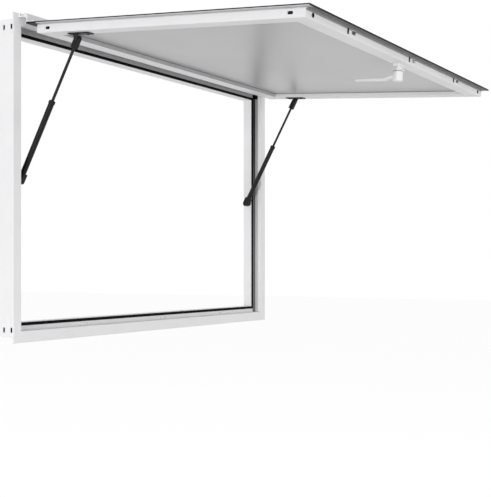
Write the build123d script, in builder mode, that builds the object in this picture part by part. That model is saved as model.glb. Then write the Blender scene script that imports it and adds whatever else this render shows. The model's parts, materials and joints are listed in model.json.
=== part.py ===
from build123d import *
import math
import os

# A serving window for a food stand: an extruded aluminium frame that is screwed into a wall
# opening, and a flat awning door on a continuous hinge along the top, held up by two gas struts.
# X runs along the wall, Y points indoors and Z up. The wall's outer face is Y = 0, which is the
# back of the frame's flange, and the door is modelled where the struts hold it, almost level.

# Frame, overall
FRAME_WIDTH = 1350.0
FRAME_HEIGHT = 884.0
MOUNT_LINE = 7.0
WALL = 2.0

# Frame extrusion: widths run inwards from the flange's edge, depths run indoors from the wall
FLANGE_WIDTH = 31.0
FLANGE_BEVEL = 2.4
FLANGE_EDGE = 0.8
BODY_INSET = 14.0
STOP_DEPTH = 28.0
STOP_WIDTH = 22.5
FRAME_DEPTH = 61.0

# Bulb seal, and the groove in the stop face that holds its stem
SEAL_WIDTH = 8.5
SEAL_HEIGHT = 4.0
SEAL_SETBACK = 1.0
SEAL_SKIN = 1.4
GROOVE_MOUTH = 2.6
GROOVE_WIDTH = 5.0
GROOVE_DEPTH = 4.5
GROOVE_LIP = 1.5
STEM_WIDTH = 2.0
BARB_WIDTH = 4.2
BARB_HEIGHT = 2.0
BARB_CLEARANCE = 0.3

# Corner keys: L-shaped ladders in the hollow of every mitred corner
KEY_CLEARANCE = 0.3
KEY_LEG = 70.0
KEY_WALL = 3.0
KEY_RIBS = 2
KEY_DEPTH = 46.0
KEY_SETBACK = 6.0
DOOR_KEY_LEG = 90.0

# Slots in the outer walls, through which the corner keys are clinched
FRAME_SLOT_LENGTH = 15.0
FRAME_SLOT_WIDTH = 7.0
FRAME_SLOT_DEPTHS = (17.0, 44.0)
FRAME_SLOT_SETBACK = 34.5
RAIL_SLOT_LENGTH = 15.0
RAIL_SLOT_WIDTH = 8.0
RAIL_SLOT_SETBACK = 40.0
HINGE_SLOT_SETBACK = 37.0

# Continuous hinge
HINGE_DROP = 9.0
HINGE_OFFSET = 19.5
BEAD_RADIUS = 4.0
BEAD_CLEARANCE = 0.3
SOCKET_WALL = 2.7
SOCKET_OPENING = (155.0, 300.0)
LEAF_THICKNESS = 3.0
LEAF_LIP = 2.0
WEB_THICKNESS = 3.0
HINGE_FOOT = 28.0
FOOT_THICKNESS = 2.0

# Door: clearances to the frame when closed, and the angle at which the struts hold it
DOOR_ANGLE = 4.2
SKIN_GAP = 3.0
SIDE_CLEARANCE = 11.0
SILL_CLEARANCE = 7.5
SKIN_THICKNESS = 3.0
SKIN_START = 4.5
SKIN_ROUND = 1.2
LIP = 19.0
RAIL_DEPTH = 24.0
RAIL_START = 27.0
RAIL_WIDTH = 44.0
HINGE_RAIL_WIDTH = 47.0
RAIL_ROUND = 1.5
PANEL_THICKNESS = 10.0
GASKET_EDGE = 2.4
GASKET_ROOT = 0.9
GASKET_HEEL = 3.8
GASKET_HEEL_WIDTH = 5.0

# Lock stations along the front rail: a slot with a bolt behind it, and an oval stud beside it
LOCK_LEFT = -392.0
LOCK_MIDDLE = 10.0
LOCK_RIGHT = 376.0
LOCK_DROP = 10.5
LOCK_SLOT_WIDTH = 5.0
LOCK_SLOT_HEIGHT = 13.0
LOCK_SLOT_SHIFT = -17.0
LOCK_STUD_SHIFT = 15.0
LOCK_STUD_LENGTH = 17.0
LOCK_STUD_HEIGHT = 9.0
LOCK_STUD_THICKNESS = 1.5
BOLT_THICKNESS = 3.0
BOLT_LENGTH = 28.0
BOLT_CLEARANCE = 0.3
END_HOLE_RADIUS = 4.0
END_HOLE_INSET = 36.0
END_HOLE_DROP = 12.5

# Keepers on the sill's stop face, one for each lock station
KEEPER_SHIFT = 38.0
KEEPER_LENGTH = 40.0
KEEPER_HEIGHT = 8.0
KEEPER_THICKNESS = 1.6
KEEPER_SLOT_LENGTH = 16.0
KEEPER_SLOT_WIDTH = 4.0

# Gas struts. The tube's length is a share of the strut's, and the rod reaches a little way into it.
STRUT_INSET = 17.5
LOWER_BALL_DEPTH = 39.5
LOWER_BALL_DROP = 434.5
UPPER_BALL_OUT = 145.5
UPPER_BALL_DROP = 14.0
TUBE_RADIUS = 8.0
TUBE_WALL = 1.6
TUBE_BASE = 22.0
TUBE_SHARE = 0.517
TUBE_END = 8.0
CRIMP_DEPTH = 0.6
CRIMP_WIDTH = 3.0
TUBE_CHAMFER = 1.2
ROD_RADIUS = 4.0
ROD_CLEARANCE = 0.3
ROD_ENGAGEMENT = 23.0
PISTON_LENGTH = 10.0
FOOT_RADIUS = 10.0
FOOT_WIDTH = 16.0
HEAD_LENGTH = 28.0
HEAD_RADIUS = 7.5
HEAD_WIDTH = 14.0
PIN_RADIUS = 3.0
PIN_CLEARANCE = 0.3
PIN_HEAD = 4.5
PIN_HEAD_THICKNESS = 1.5
SIDE_PLAY = 0.5

# Stud on each jamb's inner reveal
STUD_FLANGE = 9.0
STUD_FLANGE_THICKNESS = 2.5
STUD_RADIUS = 6.2

# Bent bracket under each side rail
BRACKET_LENGTH = 70.0
BRACKET_WIDTH = 25.0
BRACKET_START = 117.0
BRACKET_THICKNESS = 3.0
BRACKET_BEND = 4.0
TAB_TIP = 5.5
TAB_SPREAD = 10.0

# Latch on the front rail
LATCH_INSET = 34.0
LATCH_WIDTH = 49.0
LATCH_REACH = 20.0
LATCH_PLATE = 6.0
LATCH_CORNER = 3.0
BOSS_RADIUS = 10.5
BOSS_HEIGHT = 12.0
BOSS_TIP = 9.2
SPINDLE_RADIUS = 5.0
SPINDLE_LENGTH = 5.0
SPINDLE_CLEARANCE = 0.3
HUB_RADIUS = 14.0
HUB_HEIGHT = 27.0
HUB_GAP = 0.5
HUB_CHAMFER = 1.5
LEVER_LENGTH = 132.0
LEVER_WIDTH = 22.0
LEVER_TIP_WIDTH = 14.0
LEVER_THICKNESS = 5.0
LEVER_HEIGHT = 14.0
LEVER_STEP = 7.0
LEVER_STEP_START = 20.0
LEVER_STEP_END = 40.0
LEVER_ROUND = 1.5

os.makedirs("parts", exist_ok=True)

# Places that follow from the sizes above
half_width = FRAME_WIDTH / 2
frame_bottom = -MOUNT_LINE
frame_top = frame_bottom + FRAME_HEIGHT
reveal_inset = FLANGE_WIDTH + STOP_WIDTH
reveal_x = half_width - reveal_inset
seal_inner = reveal_inset - SEAL_SETBACK
seal_outer = seal_inner - SEAL_WIDTH
seal_middle = (seal_inner + seal_outer) / 2

hinge_y = -WALL - SKIN_GAP - HINGE_OFFSET
hinge_z = frame_top - HINGE_DROP
socket_bore = BEAD_RADIUS + BEAD_CLEARANCE
socket_radius = socket_bore + SOCKET_WALL

skin_under = -HINGE_OFFSET
skin_top = skin_under + SKIN_THICKNESS
rail_face = skin_under - RAIL_DEPTH
rail_middle = skin_under - RAIL_DEPTH / 2
rail_half = half_width - FLANGE_WIDTH - SIDE_CLEARANCE
rail_end = hinge_z - frame_bottom - FLANGE_WIDTH - SILL_CLEARANCE
skin_half = rail_half + LIP
skin_end = rail_end + LIP
panel_half = rail_half - RAIL_WIDTH
panel_start = RAIL_START + HINGE_RAIL_WIDTH
panel_end = rail_end - RAIL_WIDTH

lock_stations = (LOCK_LEFT, LOCK_MIDDLE, LOCK_RIGHT)
strut_x = reveal_x - STRUT_INSET
tube_bore = TUBE_RADIUS - TUBE_WALL
latch_out = rail_end - LATCH_INSET
latch_face = rail_face - LATCH_PLATE - BOSS_HEIGHT
hub_face = latch_face - HUB_GAP

angle = math.radians(DOOR_ANGLE)
outward = Vector(0, -math.cos(angle), -math.sin(angle))
normal = Vector(0, -math.sin(angle), math.cos(angle))
hinge_point = Vector(0, hinge_y, hinge_z)


def on_door(x, out, height):
    """World point at x, out from the hinge line and at a height along the door's normal."""
    return hinge_point + Vector(x, 0, 0) + outward * out + normal * height


def across_door(x):
    """Plane across the door at x, facing -X: local x runs outwards and local y up the normal."""
    return Plane(origin=on_door(x, 0, 0), x_dir=outward, z_dir=(-1, 0, 0))


def along_door(out):
    """Plane facing outwards along the door: local x is X and local y runs up the normal."""
    return Plane(origin=on_door(0, out, 0), x_dir=(1, 0, 0), z_dir=outward)


def over_door(height):
    """Plane parallel to the door: local x is X and local y runs back towards the hinge."""
    return Plane(origin=on_door(0, 0, height), x_dir=(1, 0, 0), z_dir=normal)


def door_mitre(side, outer, inner):
    """Mitre plane through two (x, out) corners of the door; its normal points at that side."""
    start = on_door(side * outer[0], outer[1], 0)
    end = on_door(side * inner[0], inner[1], 0)
    facing = (end - start).cross(normal)
    return Plane(origin=start, z_dir=facing if facing.X * side > 0 else -facing)


# Planes of the frame's four mitres. Each one's normal points at the jamb.
mitre_bottom_left = Plane(origin=(-half_width, 0, frame_bottom), z_dir=(-1, 0, 1))
mitre_top_left = Plane(origin=(-half_width, 0, frame_top), z_dir=(-1, 0, -1))
mitre_bottom_right = Plane(origin=(half_width, 0, frame_bottom), z_dir=(1, 0, 1))
mitre_top_right = Plane(origin=(half_width, 0, frame_top), z_dir=(1, 0, -1))

# Sections of the frame members: local x runs in from the outer edge and local y indoors
jamb_section = Plane(origin=(-half_width, 0, frame_bottom), x_dir=(1, 0, 0), z_dir=(0, 0, 1))
sill_section = Plane(origin=(half_width, 0, frame_bottom), x_dir=(0, 0, 1), z_dir=(-1, 0, 0))
header_section = Plane(origin=(-half_width, 0, frame_top), x_dir=(0, 0, -1), z_dir=(1, 0, 0))


def frame_profile(section):
    """The frame's cross-section: flange, rebate, grooved stop face, reveal and two hollows."""
    groove_back = STOP_DEPTH + GROOVE_DEPTH + WALL
    groove_side = seal_middle - GROOVE_WIDTH / 2 - WALL
    with BuildSketch(section) as profile:
        with BuildLine():
            Polyline(
                (0, 0),
                (0, -FLANGE_EDGE),
                (FLANGE_BEVEL, -WALL),
                (FLANGE_WIDTH, -WALL),
                (FLANGE_WIDTH, STOP_DEPTH),
                (reveal_inset, STOP_DEPTH),
                (reveal_inset, FRAME_DEPTH),
                (BODY_INSET, FRAME_DEPTH),
                (BODY_INSET, 0),
                close=True,
            )
        make_face()
        with Locations(((BODY_INSET + FLANGE_WIDTH) / 2, (FRAME_DEPTH - WALL) / 2)):
            Rectangle(
                FLANGE_WIDTH - BODY_INSET - 2 * WALL, FRAME_DEPTH - WALL, mode=Mode.SUBTRACT
            )
        with BuildLine():
            Polyline(
                (FLANGE_WIDTH, STOP_DEPTH + WALL),
                (groove_side, STOP_DEPTH + WALL),
                (groove_side, groove_back),
                (reveal_inset - WALL, groove_back),
                (reveal_inset - WALL, FRAME_DEPTH - WALL),
                (FLANGE_WIDTH, FRAME_DEPTH - WALL),
                close=True,
            )
        make_face(mode=Mode.SUBTRACT)
        with Locations((seal_middle, STOP_DEPTH + GROOVE_DEPTH / 2)):
            Rectangle(GROOVE_MOUTH, GROOVE_DEPTH, mode=Mode.SUBTRACT)
        with Locations((seal_middle, STOP_DEPTH + (GROOVE_LIP + GROOVE_DEPTH) / 2)):
            Rectangle(GROOVE_WIDTH, GROOVE_DEPTH - GROOVE_LIP, mode=Mode.SUBTRACT)
    return profile.sketch


def seal_profile(section):
    """A hollow bulb on the stop face, with a barbed stem in the groove."""
    shoulder = STOP_DEPTH - SEAL_HEIGHT / 2
    barb_middle = STOP_DEPTH + GROOVE_LIP + BARB_CLEARANCE + BARB_HEIGHT / 2
    with BuildSketch(section) as profile:
        with BuildLine():
            Line((seal_outer, STOP_DEPTH), (seal_outer, shoulder))
            ThreePointArc(
                (seal_outer, shoulder),
                (seal_middle, STOP_DEPTH - SEAL_HEIGHT),
                (seal_inner, shoulder),
            )
            Line((seal_inner, shoulder), (seal_inner, STOP_DEPTH))
            Line((seal_inner, STOP_DEPTH), (seal_outer, STOP_DEPTH))
        make_face()
        offset(amount=-SEAL_SKIN, mode=Mode.SUBTRACT)
        with Locations((seal_middle, (STOP_DEPTH + barb_middle) / 2)):
            Rectangle(STEM_WIDTH, barb_middle - STOP_DEPTH)
        with Locations((seal_middle, barb_middle)):
            Rectangle(BARB_WIDTH, BARB_HEIGHT)
    return profile.sketch


# Frame: four mitred extrusions

with BuildPart() as frame_left_jamb:
    extrude(frame_profile(jamb_section), amount=FRAME_HEIGHT)
    split(bisect_by=mitre_bottom_left, keep=Keep.TOP)
    split(bisect_by=mitre_top_left, keep=Keep.TOP)
    with BuildSketch(Plane.YZ.offset(-half_width + BODY_INSET)):
        for level in (frame_bottom + FRAME_SLOT_SETBACK, frame_top - FRAME_SLOT_SETBACK):
            for depth in FRAME_SLOT_DEPTHS:
                with Locations((depth, level)):
                    SlotOverall(FRAME_SLOT_LENGTH, FRAME_SLOT_WIDTH, rotation=90)
    extrude(amount=WALL, mode=Mode.SUBTRACT)

with BuildPart() as frame_right_jamb:
    mirror(frame_left_jamb.part, about=Plane.YZ)

with BuildPart() as frame_sill:
    extrude(frame_profile(sill_section), amount=FRAME_WIDTH)
    split(bisect_by=mitre_bottom_left, keep=Keep.BOTTOM)
    split(bisect_by=mitre_bottom_right, keep=Keep.BOTTOM)

with BuildPart() as frame_header:
    extrude(frame_profile(header_section), amount=FRAME_WIDTH)
    split(bisect_by=mitre_top_left, keep=Keep.BOTTOM)
    split(bisect_by=mitre_top_right, keep=Keep.BOTTOM)

# Seals on the stop face, mitred in the same planes

with BuildPart() as seal_left:
    extrude(seal_profile(jamb_section), amount=FRAME_HEIGHT)
    split(bisect_by=mitre_bottom_left, keep=Keep.TOP)
    split(bisect_by=mitre_top_left, keep=Keep.TOP)

with BuildPart() as seal_right:
    mirror(seal_left.part, about=Plane.YZ)

with BuildPart() as seal_bottom:
    extrude(seal_profile(sill_section), amount=FRAME_WIDTH)
    split(bisect_by=mitre_bottom_left, keep=Keep.BOTTOM)
    split(bisect_by=mitre_bottom_right, keep=Keep.BOTTOM)

with BuildPart() as seal_top:
    extrude(seal_profile(header_section), amount=FRAME_WIDTH)
    split(bisect_by=mitre_top_left, keep=Keep.BOTTOM)
    split(bisect_by=mitre_top_right, keep=Keep.BOTTOM)


def corner_key(plane, width_x, width_y, leg):
    """Sketch of an L-shaped key with its outer corner on the plane's origin and ribbed legs."""
    with BuildSketch(plane) as key:
        with BuildLine():
            Polyline(
                (0, 0),
                (leg, 0),
                (leg, width_x),
                (width_y, width_x),
                (width_y, leg),
                (0, leg),
                close=True,
            )
        make_face()
        free_x = (leg - width_y - KEY_WALL * KEY_RIBS) / KEY_RIBS
        free_y = (leg - width_x - KEY_WALL * KEY_RIBS) / KEY_RIBS
        for rib in range(KEY_RIBS):
            with Locations((width_y + free_x / 2 + rib * (free_x + KEY_WALL), width_x / 2)):
                Rectangle(free_x, width_x - 2 * KEY_WALL, mode=Mode.SUBTRACT)
            with Locations((width_y / 2, width_x + free_y / 2 + rib * (free_y + KEY_WALL))):
                Rectangle(width_y - 2 * KEY_WALL, free_y, mode=Mode.SUBTRACT)
    return key.sketch


# Corner keys of the frame, in the outer hollow of each corner

key_inset = BODY_INSET + WALL + KEY_CLEARANCE
frame_key_width = FLANGE_WIDTH - BODY_INSET - 2 * WALL - 2 * KEY_CLEARANCE

with BuildPart() as frame_corner_keys:
    for side in (-1, 1):
        for level, up in ((frame_bottom + key_inset, 1), (frame_top - key_inset, -1)):
            corner = Plane(
                origin=(side * (half_width - key_inset), KEY_SETBACK, level),
                x_dir=(-side, 0, 0),
                z_dir=(0, side * up, 0),
            )
            extrude(
                corner_key(corner, frame_key_width, frame_key_width, KEY_LEG),
                amount=side * up * KEY_DEPTH,
            )

# Lock keepers on the sill's stop face


def keeper(station):
    """Sketch of one slotted keeper plate, low on the sill's stop face."""
    level = frame_bottom + FLANGE_WIDTH + KEEPER_HEIGHT / 2
    with BuildSketch(Plane.XZ.offset(-STOP_DEPTH)) as plate:
        with Locations((station + KEEPER_SHIFT, level)):
            Rectangle(KEEPER_LENGTH, KEEPER_HEIGHT)
            SlotOverall(KEEPER_SLOT_LENGTH, KEEPER_SLOT_WIDTH, mode=Mode.SUBTRACT)
    return plate.sketch


with BuildPart() as keeper_left:
    extrude(keeper(LOCK_LEFT), amount=KEEPER_THICKNESS)

with BuildPart() as keeper_middle:
    extrude(keeper(LOCK_MIDDLE), amount=KEEPER_THICKNESS)

with BuildPart() as keeper_right:
    extrude(keeper(LOCK_RIGHT), amount=KEEPER_THICKNESS)

# Continuous hinge: a leaf with a bead on the frame, and a hooked socket on the door

with BuildPart() as hinge_leaf:
    with BuildSketch(Plane.YZ.offset(-skin_half)):
        with BuildLine():
            Polyline(
                (-WALL, frame_top),
                (-WALL, hinge_z - LEAF_LIP),
                (-WALL - LEAF_THICKNESS, hinge_z - LEAF_LIP),
                (-WALL - LEAF_THICKNESS, hinge_z - WEB_THICKNESS / 2),
                (hinge_y, hinge_z - WEB_THICKNESS / 2),
                (hinge_y, hinge_z + WEB_THICKNESS / 2),
                (-WALL - LEAF_THICKNESS, hinge_z + WEB_THICKNESS / 2),
                (-WALL - LEAF_THICKNESS, frame_top),
                close=True,
            )
        make_face()
        with Locations((hinge_y, hinge_z)):
            Circle(BEAD_RADIUS)
    extrude(amount=2 * skin_half)


def around_hinge(degrees):
    """Point beyond the socket's outside, at an angle round the hinge line."""
    reach = 2 * socket_radius
    turn = math.radians(degrees)
    return (reach * math.cos(turn), reach * math.sin(turn))


with BuildPart() as hinge_socket:
    with BuildSketch(across_door(skin_half)):
        Circle(socket_radius)
        Circle(socket_bore, mode=Mode.SUBTRACT)
        with BuildLine():
            Polyline(
                (0, 0),
                around_hinge(SOCKET_OPENING[0]),
                around_hinge(sum(SOCKET_OPENING) / 2),
                around_hinge(SOCKET_OPENING[1]),
                close=True,
            )
        make_face(mode=Mode.SUBTRACT)
        with BuildLine():
            Polyline(
                (SKIN_START, 0),
                (SKIN_START, skin_top),
                (SKIN_START + HINGE_FOOT, skin_top),
                (SKIN_START + HINGE_FOOT, skin_top + FOOT_THICKNESS),
                (socket_radius, skin_top + FOOT_THICKNESS),
                (socket_radius, 0),
                close=True,
            )
        make_face()
    extrude(amount=2 * skin_half)

# Door: outer skin, lip gasket, four hollow rails with mitred corners, and the inner panel

with BuildPart() as door_skin:
    with BuildSketch(over_door(skin_under)):
        with Locations((0, -(SKIN_START + skin_end) / 2)):
            Rectangle(2 * skin_half, skin_end - SKIN_START)
    extrude(amount=SKIN_THICKNESS)
    outer_face = door_skin.faces().sort_by(Axis(hinge_point, normal))[-1]
    fillet(outer_face.edges(), SKIN_ROUND)


def gasket_profile(section, root, edge):
    """A rubber strip under the lip, thin at the rail and with a rounded bead at the edge."""
    turn = 1 if edge > root else -1
    with BuildSketch(section) as profile:
        with BuildLine():
            Polyline(
                (edge - turn * GASKET_EDGE / 2, skin_under - GASKET_EDGE),
                (root, skin_under - GASKET_ROOT),
                (root, skin_under),
                (edge, skin_under),
                (edge, skin_under - GASKET_EDGE / 2),
            )
            RadiusArc(
                (edge, skin_under - GASKET_EDGE / 2),
                (edge - turn * GASKET_EDGE / 2, skin_under - GASKET_EDGE),
                turn * GASKET_EDGE / 2,
            )
        make_face()
    return profile.sketch


def gasket_mitre(side, outer_out, inner_out):
    """Mitre of the lip gasket, from the skin's corner to the rails' corner."""
    return door_mitre(side, (skin_half, outer_out), (rail_half, inner_out))


with BuildPart() as front_weatherstrip:
    extrude(gasket_profile(across_door(skin_half), rail_end, skin_end), amount=2 * skin_half)
    with BuildSketch(across_door(skin_half)):
        with Locations((rail_end + GASKET_HEEL_WIDTH / 2, skin_under - GASKET_HEEL / 2)):
            Rectangle(GASKET_HEEL_WIDTH, GASKET_HEEL)
    extrude(amount=2 * skin_half)
    split(bisect_by=gasket_mitre(-1, skin_end, rail_end), keep=Keep.BOTTOM)
    split(bisect_by=gasket_mitre(1, skin_end, rail_end), keep=Keep.BOTTOM)

with BuildPart() as hinge_weatherstrip:
    extrude(gasket_profile(across_door(skin_half), RAIL_START, SKIN_START), amount=2 * skin_half)
    split(bisect_by=gasket_mitre(-1, SKIN_START, RAIL_START), keep=Keep.BOTTOM)
    split(bisect_by=gasket_mitre(1, SKIN_START, RAIL_START), keep=Keep.BOTTOM)

with BuildPart() as left_weatherstrip:
    extrude(
        gasket_profile(along_door(SKIN_START), -rail_half, -skin_half),
        amount=skin_end - SKIN_START,
    )
    split(bisect_by=gasket_mitre(-1, skin_end, rail_end), keep=Keep.TOP)
    split(bisect_by=gasket_mitre(-1, SKIN_START, RAIL_START), keep=Keep.TOP)

with BuildPart() as right_weatherstrip:
    mirror(left_weatherstrip.part, about=Plane.YZ)


def rail_mitre(side, outer_out, inner_out):
    """Mitre of the door's rails, from their outer corner to the panel's corner."""
    return door_mitre(side, (rail_half, outer_out), (panel_half, inner_out))


def rail_profile(section, inner, outer):
    """A hollow rail with rounded corners between two distances, hung below the skin."""
    with BuildSketch(section) as profile:
        with Locations(((inner + outer) / 2, rail_middle)):
            RectangleRounded(outer - inner, RAIL_DEPTH, RAIL_ROUND)
            Rectangle(outer - inner - 2 * WALL, RAIL_DEPTH - 2 * WALL, mode=Mode.SUBTRACT)
    return profile.sketch


with BuildPart() as door_left_rail:
    extrude(rail_profile(along_door(RAIL_START), -rail_half, -panel_half), amount=rail_end - RAIL_START)
    split(bisect_by=rail_mitre(-1, rail_end, panel_end), keep=Keep.TOP)
    split(bisect_by=rail_mitre(-1, RAIL_START, panel_start), keep=Keep.TOP)
    with BuildSketch(across_door(-rail_half + WALL)):
        for slot_out in (RAIL_START + HINGE_SLOT_SETBACK, rail_end - RAIL_SLOT_SETBACK):
            with Locations((slot_out, rail_middle)):
                SlotOverall(RAIL_SLOT_LENGTH, RAIL_SLOT_WIDTH)
    extrude(amount=WALL, mode=Mode.SUBTRACT)

with BuildPart() as door_right_rail:
    mirror(door_left_rail.part, about=Plane.YZ)

with BuildPart() as door_front_rail:
    extrude(rail_profile(across_door(rail_half), panel_end, rail_end), amount=2 * rail_half)
    split(bisect_by=rail_mitre(-1, rail_end, panel_end), keep=Keep.BOTTOM)
    split(bisect_by=rail_mitre(1, rail_end, panel_end), keep=Keep.BOTTOM)
    with BuildSketch(along_door(rail_end)):
        for station in lock_stations:
            with Locations((station + LOCK_SLOT_SHIFT, skin_under - LOCK_DROP)):
                SlotOverall(LOCK_SLOT_HEIGHT, LOCK_SLOT_WIDTH, rotation=90)
        for side in (-1, 1):
            with Locations((side * (rail_half - END_HOLE_INSET), skin_under - END_HOLE_DROP)):
                Circle(END_HOLE_RADIUS)
    extrude(amount=-WALL, mode=Mode.SUBTRACT)

with BuildPart() as door_hinge_rail:
    extrude(rail_profile(across_door(rail_half), RAIL_START, panel_start), amount=2 * rail_half)
    split(bisect_by=rail_mitre(-1, RAIL_START, panel_start), keep=Keep.BOTTOM)
    split(bisect_by=rail_mitre(1, RAIL_START, panel_start), keep=Keep.BOTTOM)

with BuildPart() as door_panel:
    with BuildSketch(over_door(skin_under)):
        with Locations((0, -(panel_start + panel_end) / 2)):
            Rectangle(2 * panel_half, panel_end - panel_start)
    extrude(amount=-PANEL_THICKNESS)

# Corner keys of the door, in the rails' hollows

rail_key_inset = WALL + KEY_CLEARANCE
side_key_width = RAIL_WIDTH - 2 * rail_key_inset
hinge_key_width = HINGE_RAIL_WIDTH - 2 * rail_key_inset
door_key_depth = RAIL_DEPTH - 2 * rail_key_inset

with BuildPart() as door_corner_keys:
    for side in (-1, 1):
        for out, turn, width in (
            (RAIL_START + rail_key_inset, 1, hinge_key_width),
            (rail_end - rail_key_inset, -1, side_key_width),
        ):
            corner = Plane(
                origin=on_door(side * (rail_half - rail_key_inset), out, rail_face + rail_key_inset),
                x_dir=(-side, 0, 0),
                z_dir=normal * (side * turn),
            )
            extrude(
                corner_key(corner, width, side_key_width, DOOR_KEY_LEG),
                amount=side * turn * door_key_depth,
            )

# Locks: a bolt inside the front rail behind each slot, and an oval stud on the rail's face


def lock_bolt(station):
    """Sketch of a hook bolt standing on the rail's lower wall, close behind its slot."""
    front = rail_end - WALL - BOLT_CLEARANCE
    bottom = rail_face + WALL
    top = skin_under - LOCK_DROP + LOCK_SLOT_HEIGHT / 2
    neck = skin_under - LOCK_DROP - LOCK_SLOT_HEIGHT / 2
    with BuildSketch(across_door(station + LOCK_SLOT_SHIFT + BOLT_THICKNESS / 2)) as bolt:
        with BuildLine():
            Polyline(
                (front - BOLT_LENGTH, bottom),
                (front - BOLT_THICKNESS, bottom),
                (front - BOLT_THICKNESS, neck),
                (front, neck),
                (front, top - BOLT_THICKNESS),
                (front - BOLT_THICKNESS, top),
                (front - BOLT_LENGTH / 2, top),
                (front - BOLT_LENGTH, neck),
                close=True,
            )
        make_face()
    return bolt.sketch


with BuildPart() as lock_bolt_left:
    extrude(lock_bolt(LOCK_LEFT), amount=BOLT_THICKNESS)

with BuildPart() as lock_bolt_middle:
    extrude(lock_bolt(LOCK_MIDDLE), amount=BOLT_THICKNESS)

with BuildPart() as lock_bolt_right:
    extrude(lock_bolt(LOCK_RIGHT), amount=BOLT_THICKNESS)

with BuildPart() as lock_studs:
    with BuildSketch(along_door(rail_end)):
        for station in lock_stations:
            with Locations((station + LOCK_STUD_SHIFT, skin_under - LOCK_DROP)):
                SlotOverall(LOCK_STUD_LENGTH, LOCK_STUD_HEIGHT)
    extrude(amount=LOCK_STUD_THICKNESS)

# Latch: plate and tapered boss on the front rail, and the handle that turns on its spindle

with BuildPart() as latch_base:
    with BuildSketch(over_door(rail_face)):
        with Locations((0, -latch_out)):
            plate = Rectangle(LATCH_WIDTH, LATCH_REACH)
        chamfer(plate.vertices(), LATCH_CORNER)
    extrude(amount=-LATCH_PLATE)
    with BuildSketch(across_door(0)):
        with BuildLine():
            Polyline(
                (latch_out, rail_face - LATCH_PLATE),
                (latch_out + BOSS_RADIUS, rail_face - LATCH_PLATE),
                (latch_out + BOSS_TIP, latch_face),
                (latch_out + SPINDLE_RADIUS, latch_face),
                (latch_out + SPINDLE_RADIUS, latch_face - SPINDLE_LENGTH),
                (latch_out, latch_face - SPINDLE_LENGTH),
                close=True,
            )
        make_face()
    revolve(axis=Axis(on_door(0, latch_out, 0), normal))

with BuildPart() as latch_handle:
    lever_top = hub_face - HUB_HEIGHT + LEVER_HEIGHT
    with BuildSketch(across_door(LEVER_WIDTH / 2)):
        with BuildLine():
            Polyline(
                (latch_out, lever_top),
                (latch_out - LEVER_STEP_START, lever_top),
                (latch_out - LEVER_STEP_END, lever_top - LEVER_STEP),
                (latch_out - LEVER_LENGTH, lever_top - LEVER_STEP),
                (latch_out - LEVER_LENGTH, lever_top - LEVER_STEP - LEVER_THICKNESS),
                (latch_out - LEVER_STEP_END, lever_top - LEVER_STEP - LEVER_THICKNESS),
                (latch_out - LEVER_STEP_START, lever_top - LEVER_THICKNESS),
                (latch_out, lever_top - LEVER_THICKNESS),
                close=True,
            )
        make_face()
    extrude(amount=LEVER_WIDTH)
    with BuildSketch(over_door(lever_top)):
        with BuildLine():
            Polyline(
                (-LEVER_WIDTH / 2, -latch_out),
                (LEVER_WIDTH / 2, -latch_out),
                (LEVER_TIP_WIDTH / 2, -latch_out + LEVER_LENGTH - LEVER_TIP_WIDTH / 2),
            )
            ThreePointArc(
                (LEVER_TIP_WIDTH / 2, -latch_out + LEVER_LENGTH - LEVER_TIP_WIDTH / 2),
                (0, -latch_out + LEVER_LENGTH),
                (-LEVER_TIP_WIDTH / 2, -latch_out + LEVER_LENGTH - LEVER_TIP_WIDTH / 2),
            )
            Line(
                (-LEVER_TIP_WIDTH / 2, -latch_out + LEVER_LENGTH - LEVER_TIP_WIDTH / 2),
                (-LEVER_WIDTH / 2, -latch_out),
            )
        make_face()
    extrude(amount=-(LEVER_STEP + LEVER_THICKNESS), mode=Mode.INTERSECT)
    with BuildSketch(over_door(hub_face)):
        with Locations((0, -latch_out)):
            Circle(HUB_RADIUS)
    extrude(amount=-HUB_HEIGHT)
    hub_bottom = latch_handle.faces().sort_by(Axis(hinge_point, normal))[0]
    chamfer(hub_bottom.edges(), HUB_CHAMFER)
    with BuildSketch(over_door(hub_face)):
        with Locations((0, -latch_out)):
            Circle(SPINDLE_RADIUS + SPINDLE_CLEARANCE)
    extrude(amount=-(SPINDLE_LENGTH + SPINDLE_CLEARANCE), mode=Mode.SUBTRACT)

# Gas struts. Each stands on a stud on the jamb and pushes on a bracket under the side rail.

upper_ball = on_door(-strut_x, UPPER_BALL_OUT, rail_face - UPPER_BALL_DROP)
lower_ball = Vector(-strut_x, LOWER_BALL_DEPTH, hinge_z - LOWER_BALL_DROP)
strut_length = (upper_ball - lower_ball).length
strut_axis = (upper_ball - lower_ball).normalized()
strut_half = Plane(origin=lower_ball, x_dir=(1, 0, 0), z_dir=Vector(1, 0, 0).cross(strut_axis))
strut_turn = Axis(lower_ball, strut_axis)
tube_top = TUBE_BASE + TUBE_SHARE * strut_length
crimp_top = tube_top - TUBE_END
head_base = strut_length - HEAD_LENGTH
rod_base = tube_top - ROD_ENGAGEMENT

stud_root = Vector(-reveal_x, lower_ball.Y, lower_ball.Z)
stud_reach = STRUT_INSET - FOOT_WIDTH / 2 - SIDE_PLAY

with BuildPart() as jamb_stud_left:
    with BuildSketch(Plane(origin=stud_root, x_dir=(1, 0, 0), z_dir=(0, -1, 0))):
        with BuildLine():
            Polyline(
                (0, 0),
                (0, STUD_FLANGE),
                (STUD_FLANGE_THICKNESS, STUD_FLANGE),
                (STUD_FLANGE_THICKNESS, STUD_RADIUS),
                (stud_reach, STUD_RADIUS),
                (stud_reach, 0),
                close=True,
            )
        make_face()
    revolve(axis=Axis(stud_root, (1, 0, 0)))

with BuildPart() as jamb_stud_right:
    mirror(jamb_stud_left.part, about=Plane.YZ)

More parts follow.
